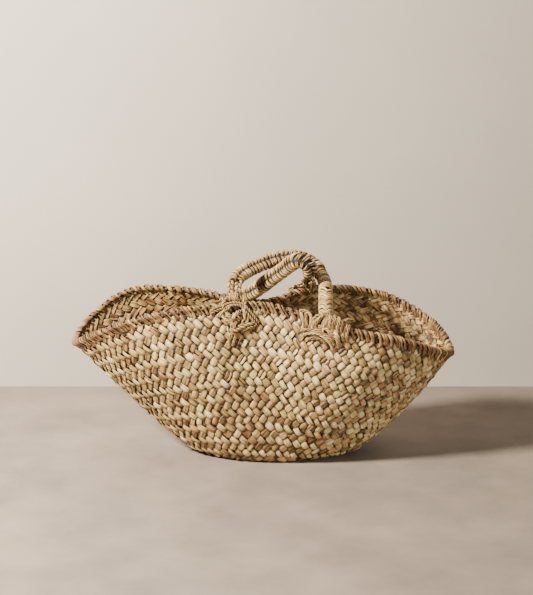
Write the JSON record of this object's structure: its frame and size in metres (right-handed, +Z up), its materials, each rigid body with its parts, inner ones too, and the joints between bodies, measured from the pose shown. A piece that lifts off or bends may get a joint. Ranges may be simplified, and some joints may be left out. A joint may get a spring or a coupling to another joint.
{
  "type": "palm leaf basket",
  "caption": "Boat-shaped market basket of sewn palm leaf plait with a corded rim and two wound rope handles that swing on tied feet.",
  "frame": {"origin": "middle of the flat underside of the oval where the plait starts, on the floor", "axes": "+X along the basket from its left tip to its right tip, +Y to the back, +Z up"},
  "size_m": [0.4849, 0.1766, 0.2589],
  "materials": {
    "palm_leaf": "matt dried palm leaf strips, straw to olive brown",
    "palm_cord": "matt twisted palm leaf cord",
    "palm_rope": "matt palm leaf rope wound with flat leaf cord"
  },
  "bodies": {
    "basket": {"base_plait_centre": "palm_leaf", "plait_turn_1": "palm_leaf", "plait_turn_2": "palm_leaf", "plait_turn_3": "palm_leaf", "plait_turn_4": "palm_leaf", "plait_turn_5": "palm_leaf", "seam_cord_1": "palm_cord", "seam_cord_2": "palm_cord", "seam_cord_3": "palm_cord", "seam_cord_4": "palm_cord", "seam_cord_5": "palm_cord", "rim_cord": "palm_cord", "front_left_tie": "palm_cord", "front_right_tie": "palm_cord", "back_left_tie": "palm_cord", "back_right_tie": "palm_cord", "front_left_knot": "palm_cord", "front_right_knot": "palm_cord", "back_left_knot": "palm_cord", "back_right_knot": "palm_cord"},
    "front_handle": {"front_handle_core": "palm_rope", "front_handle_wrap": "palm_rope"},
    "back_handle": {"back_handle_core": "palm_rope", "back_handle_wrap": "palm_rope"}
  },
  "joints": [
    {"name": "front_handle_swing", "type": "hinge", "parent": "basket", "child": "front_handle", "pos_m": [0.00492, -0.07052, 0.20271], "axis": [0.9681, -0.1985, -0.153], "range_deg": [0, 165]},
    {"name": "back_handle_swing", "type": "hinge", "parent": "basket", "child": "back_handle", "pos_m": [0.00044, 0.04886, 0.19773], "axis": [0.964, 0.2339, 0.1267], "range_deg": [0, 20]}
  ]
}
